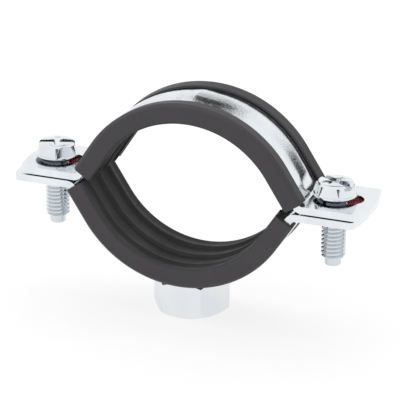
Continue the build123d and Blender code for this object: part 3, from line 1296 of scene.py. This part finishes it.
@dataclass
class ScrewSet:
    """One M6 combination screw and the captive washer that holds it.

    Attributes:
        side: Which end of the clamp it is at.
        screw_finish: Finish of the screw.
        washer_finish: Finish of the washer.
        x: Place along X.
        slot_angle: Degrees from +X to the driving slot.
        tip: Height of the screw's tip.
    """

    side: Side
    screw_finish: bpy.types.Material
    washer_finish: bpy.types.Material
    x: float
    slot_angle: float
    tip: float
    pitch: float = 1.0
    thread_radius: float = 3.0
    thread_chamfer: float = 0.5
    thread_play: float = 0.04
    point_radius: float = 2.0
    point_length: float = 2.0
    point_round: float = 0.3
    seat: float = 2.05
    bearing_radius: float = 4.2
    bearing_height: float = 0.7
    collar_radius: float = 5.4
    collar_height: float = 0.6
    collar_round: float = 0.3
    collar_under_round: float = 0.22
    hex_foot: float = 9.75
    hex_top: float = 8.6
    hex_height: float = 2.8
    corner_foot: float = 5.42
    corner_top: float = 4.62
    crown_radius: float = 4.1
    crown_drop: float = 0.5
    slot_span: float = 14.0
    slot_taper: float = 0.96
    slot_width: float = 1.5
    slot_depth: float = 1.3
    cross_span: float = 5.2
    cross_width: float = 1.3
    cross_depth: float = 2.2
    cross_taper: float = 0.5
    washer_radius: float = 5.8
    washer_half: float = 0.15
    washer_bore: float = 3.04
    slit_reach: float = 0.9
    slit_width: float = 0.35
    bore_round: float = 0.05
    rim_round: float = 0.1
    edge_break: float = 0.13

    @property
    def collar_foot(self) -> float:
        """Height of the collar's underside."""
        return self.seat + self.bearing_height

    @property
    def hex_foot_z(self) -> float:
        """Height where the hexagon leaves the collar."""
        return self.collar_foot + self.collar_height

    @property
    def top(self) -> float:
        """Height of the head's flat top."""
        return self.hex_foot_z + self.hex_height

    def hexagon(self) -> Workpiece:
        """The tapered hexagon with its crown turned down."""
        root = math.sqrt(3)
        depth = self.hex_height + 0.4
        hexagon = primitive(
            "hexagon", bpy.ops.mesh.primitive_cone_add, vertices=6, radius1=self.hex_foot / root,
            radius2=self.hex_top / root, depth=depth, location=(0, 0, self.top - depth / 2),
        )
        foot = self.hex_foot_z - 1
        crown = lathe(
            "crown",
            [(0, foot), (self.corner_foot, foot), (self.corner_foot, self.hex_foot_z),
             (self.corner_top, self.top - self.crown_drop), (self.crown_radius, self.top), (0, self.top)],
            120,
        )
        hexagon.cut(crown, Cut.KEEP_SHARED)
        return hexagon

    def recess(self, span: float, width: float, depth: float, taper: float, turn: float) -> Workpiece:
        """A punch for one bar of the driving recess.

        Args:
            span: Length at the head's top.
            width: Width at the head's top.
            depth: How deep it goes.
            taper: Share of length and width left at its bottom.
            turn: Degrees from the slot's direction.

        Returns:
            The punch, standing a little proud of the top.
        """
        punch = primitive(
            "punch", bpy.ops.mesh.primitive_cube_add, size=1,
            location=(0, 0, self.top - depth / 2), scale=(span, width, depth),
        )
        punch.open()
        punch.pick(Pick.VERTICES, lambda place: place.z < self.top - depth / 2)
        bpy.ops.transform.resize(value=(taper, taper, 1), center_override=(0, 0, self.top - depth))
        punch.pick(Pick.FACES, lambda place: place.z > self.top - MERGE)
        punch.extrude(Vector((0, 0, 1)))
        punch.close()
        punch.place(turn=Vector((0, 0, turn)))
        return punch

    def head(self) -> Workpiece:
        """The whole head: bearing face, rounded collar, hexagon, slot and cross."""
        collar = lathe(
            "collar",
            [(0, self.seat), (self.bearing_radius, self.seat), (self.bearing_radius, self.collar_foot),
             (self.collar_radius, self.collar_foot), (self.collar_radius, self.hex_foot_z),
             (0, self.hex_foot_z)],
            120, {3: self.collar_under_round, 4: self.collar_round},
        )
        collar.cut(self.hexagon(), Cut.WELD)
        bar = (self.cross_span, self.cross_width, self.cross_depth, self.cross_taper)
        collar.cut(self.recess(*bar, 0.0), Cut.AWAY)
        collar.cut(self.recess(*bar, 90.0), Cut.AWAY)
        slot = (self.slot_span, self.slot_width, self.slot_depth, self.slot_taper)
        collar.cut(self.recess(*slot, 0.0), Cut.AWAY)
        collar.soften(self.edge_break, angle=24)
        return collar

    def shank(self) -> Workpiece:
        """The rolled thread with its plain point."""
        end = self.tip + self.point_length
        chamfer, radius = self.thread_chamfer, self.thread_radius
        shank = threaded_rod("shank", 2 * radius - self.thread_play, self.pitch, end, self.seat)
        blank = lathe(
            "shank_blank",
            [(0, end), (radius - chamfer, end), (radius, end + chamfer), (radius, self.seat + 0.2),
             (0, self.seat + 0.2)],
            64,
        )
        shank.cut(blank, Cut.KEEP_SHARED)
        point = disc("point", self.point_radius, self.tip, end + 0.3, rounds={1: self.point_round})
        shank.cut(point, Cut.WELD)
        return shank

    def build_screw(self) -> None:
        """Makes the screw, dresses it and mounts it."""
        screw = self.head()
        screw.cut(self.shank(), Cut.WELD)
        screw.name = screw.obj.name = f"{self.side.value}_screw_skin"
        screw.place(turn=Vector((0, 0, self.slot_angle)), move=Vector((self.x, 0, 0)))
        screw.deliver(self.screw_finish, Slot.SCREW, self.side.body, f"{self.side.value}_screw", smooth=28)

    def build_washer(self) -> None:
        """Makes the washer, dresses it and mounts it."""
        bore, rim, half = self.washer_bore, self.washer_radius, self.washer_half
        washer = lathe(
            f"{self.side.value}_washer_skin", [(bore, -half), (rim, -half), (rim, half), (bore, half)], 96,
            {0: self.bore_round, 1: self.rim_round, 2: self.rim_round, 3: self.bore_round},
        )
        for turn in range(0, 180, 45):
            slit = primitive(
                "slit", bpy.ops.mesh.primitive_cube_add, size=1, rotation=(0, 0, math.radians(turn)),
                scale=(2 * (bore + self.slit_reach), self.slit_width, 1),
            )
            washer.cut(slit, Cut.AWAY)
        washer.place(move=Vector((self.x, 0, 0)))
        washer.deliver(
            self.washer_finish, Slot.WASHER, self.side.body, f"{self.side.value}_captive_washer"
        )


# The studio


@dataclass
class Studio:
    """Floor, world, lamps, dark cards and camera, in metres."""

    floor_z: float
    floor_size: float = 6.0
    floor_colour: Colour = (0.86, 0.86, 0.86, 1.0)
    floor_glow: float = 0.78
    world_light: float = 0.72
    camera_turn: float = 20.75
    camera_rise: float = 21.43
    camera_roll: float = 0.638
    camera_distance: float = 0.4854
    focal_pixels: float = 1988.35
    frame_pixels: float = 400.0
    sensor: float = 36.0
    target: tuple[float, float, float] = (0.001951, 0.0, -0.003916)

    def away(self, turn: float, rise: float) -> Vector:
        """Direction from the clamp to something seen at a turn from -Y towards +X and a rise."""
        a, e = math.radians(turn), math.radians(rise)
        return Vector((math.sin(a) * math.cos(e), -math.cos(a) * math.cos(e), math.sin(e)))

    def build_camera(self) -> None:
        """Sets the camera at its place."""
        data = bpy.data.cameras.new("studio_camera")
        data.sensor_width = self.sensor
        data.lens = self.focal_pixels * self.sensor / self.frame_pixels
        data.clip_start, data.clip_end = 0.01, 20.0
        camera = bpy.data.objects.new("studio_camera", data)
        bpy.context.collection.objects.link(camera)
        back = self.away(self.camera_turn, self.camera_rise)
        turn, roll = math.radians(self.camera_turn), math.radians(self.camera_roll)
        right = Vector((math.cos(turn), math.sin(turn), 0))
        up = back.cross(right)
        rolled_right = right * math.cos(roll) + up * math.sin(roll)
        rolled_up = up * math.cos(roll) - right * math.sin(roll)
        place = Matrix((rolled_right, rolled_up, back)).transposed().to_4x4()
        place.translation = Vector(self.target) + back * self.camera_distance
        camera.matrix_world = place
        bpy.context.scene.camera = camera

    def seen(self, board: NodeBoard) -> bpy.types.NodeSocket:
        """One where a camera or a glossy ray arrives, and zero for the rest of the light."""
        path = board.add("ShaderNodeLightPath")
        return board.math("MAXIMUM", path.outputs["Is Camera Ray"], path.outputs["Is Glossy Ray"])

    def sheet(self, name: str, size: float) -> tuple[bpy.types.Object, NodeBoard]:
        """A square sheet at the origin.

        Args:
            name: Name of the sheet and of its material.
            size: Side in metres.

        Returns:
            The sheet, and the empty board of its material.
        """
        bpy.ops.object.select_all(action="DESELECT")
        bpy.ops.mesh.primitive_plane_add(size=size)
        sheet = bpy.context.object
        sheet.name = name
        material = bpy.data.materials.new(name)
        sheet.data.materials.append(material)
        return sheet, NodeBoard.clear(material)

    def build_world(self) -> None:
        """White surroundings."""
        world = bpy.data.worlds.new("studio_world")
        board = NodeBoard.clear(world)
        strength = board.span(self.seen(board), 0.0, 1.0, self.world_light, 1.0)
        background = board.add("ShaderNodeBackground", None, Color=WHITE, Strength=strength)
        board.add("ShaderNodeOutputWorld", None, Surface=background.outputs[0])
        bpy.context.scene.world = world

    def build_floor(self) -> None:
        """A wide pale floor that shows white and keeps the shadow."""
        floor, board = self.sheet("studio_floor", self.floor_size)
        floor.location.z = self.floor_z
        matt = board.add("ShaderNodeBsdfDiffuse", None, Color=self.floor_colour)
        glow = board.add("ShaderNodeEmission", None, Color=WHITE, Strength=1.0)
        share = board.math("MULTIPLY", self.seen(board), self.floor_glow)
        mixed = board.add(
            "ShaderNodeMixShader", None, Fac=share, i1=matt.outputs[0], i2=glow.outputs[0]
        )
        board.add("ShaderNodeOutputMaterial", None, Surface=mixed.outputs[0])

    def lamp(
        self, name: str, turn: float, rise: float, distance: float, size: float, watts: float
    ) -> None:
        """Adds a square soft lamp that faces the clamp.

        Args:
            name: Name of the lamp.
            turn: Direction from the clamp, from -Y towards +X.
            rise: Elevation.
            distance: Distance in metres.
            size: Side in metres.
            watts: Power.
        """
        data = bpy.data.lights.new(name, "AREA")
        data.size = size
        data.energy = watts
        light = bpy.data.objects.new(name, data)
        bpy.context.collection.objects.link(light)
        way = self.away(turn, rise)
        light.visible_glossy = False
        light.location = way * distance
        light.rotation_euler = way.to_track_quat("Z", "Y").to_euler()

    def card(
        self, name: str, turn: float, rise: float, distance: float, width: float, height: float,
        shade: float,
    ) -> None:
        """Adds a dark card that only shows in polished metal.

        Args:
            name: Name of the card.
            turn: Direction from the clamp, from -Y towards +X.
            rise: Elevation.
            distance: Distance in metres.
            width: Width in metres.
            height: Height in metres.
            shade: Grey of the card.
        """
        way = self.away(turn, rise)
        card, board = self.sheet(name, 1.0)
        card.scale = (width, height, 1)
        card.location = way * distance
        card.rotation_euler = way.to_track_quat("Z", "Y").to_euler()
        glow = board.add("ShaderNodeEmission", None, Color=(shade, shade, shade, 1.0), Strength=1.0)
        board.add("ShaderNodeOutputMaterial", None, Surface=glow.outputs[0])
        card.visible_camera = False
        card.visible_diffuse = False
        card.visible_shadow = False

    def build(self) -> None:
        """Sets the whole studio."""
        bpy.context.scene.view_settings.view_transform = "Standard"
        self.build_world()
        self.build_floor()
        self.lamp("top_lamp", turn=200.0, rise=72.0, distance=0.9, size=0.9, watts=6.0)
        self.lamp("left_lamp", turn=-60.0, rise=40.0, distance=1.2, size=0.7, watts=2.5)
        for name, turn, rise, distance, width, height, shade in (
            ("lens_card", 28.0, 21.0, 0.8, 0.42, 0.24, 0.12),
            ("high_card", -168.0, 53.0, 1.0, 0.5, 0.84, 0.06),
            ("low_card", 147.0, 6.0, 1.0, 0.44, 0.3, 0.05),
        ):
            self.card(name, turn, rise, distance, width, height, shade)
        self.build_camera()


def centre_x(node: str) -> float:
    """Middle of a frame node along X, in millimetres."""
    low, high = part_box(node)
    return (low.x + high.x) / 2 / MM


def main() -> None:
    """Builds the clamp piece by piece and sets the studio round it."""
    logging.basicConfig(level=logging.INFO, format="%(name)s: %(message)s")
    strip = ZincFinish("bright_zinc_strip").build()
    nut_zinc = ZincFinish(
        "bright_zinc_nut",
        bright=(0.87, 0.89, 0.90, 1.0), film=(0.83, 0.85, 0.89, 1.0), gloss=0.28, haze=0.34,
        grain_depth=0.0, line_depth=0.0,
    ).build()
    # The screw's shade colour is painted shade on its bearing face and under its collar, from 1.95 to 2.88
    # mm.
    screw_zinc = ZincFinish(
        "bright_zinc_screw", gloss=0.07, haze=0.12, grain_depth=1.2e-5, wave_size=1.6, calm_share=1.0,
        dull_below=-1.0, shade_low=1.95, shade_high=2.88,
    ).build()
    red = PlasticFinish("red_plastic").build()
    upper_shift = centre_x("upper_band")
    upper_rubber = RubberFinish("upper_rubber", centre=(upper_shift, 0.0, -ROLL.drop)).build()
    lower_rubber = RubberFinish("lower_rubber", centre=(0.0, 0.0, ROLL.drop)).build()
    screw_x = centre_x("right_screw")
    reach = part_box("lower_band")[1].x / MM
    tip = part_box("right_screw")[0].z / MM + TIP_SHORTER
    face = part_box("connection_nut")[0].z / MM
    Band(Half.UPPER, strip, upper_shift, screw_x, reach).build()
    Band(Half.LOWER, strip, 0.0, screw_x, reach).build()
    Liner(Half.UPPER, upper_rubber, upper_shift, creep=0.45).build()
    Liner(Half.LOWER, lower_rubber, 0.0, creep=-0.6).build()
    ConnectionNut(nut_zinc, face).build()
    for side, place, angle in ((Side.LEFT, -screw_x, 21.0), (Side.RIGHT, screw_x, -31.0)):
        screw_set = ScrewSet(side, screw_zinc, red, place, angle, tip)
        screw_set.build_screw()
        screw_set.build_washer()
    Studio(floor_z=face * MM).build()


if __name__ == "__main__":
    main()
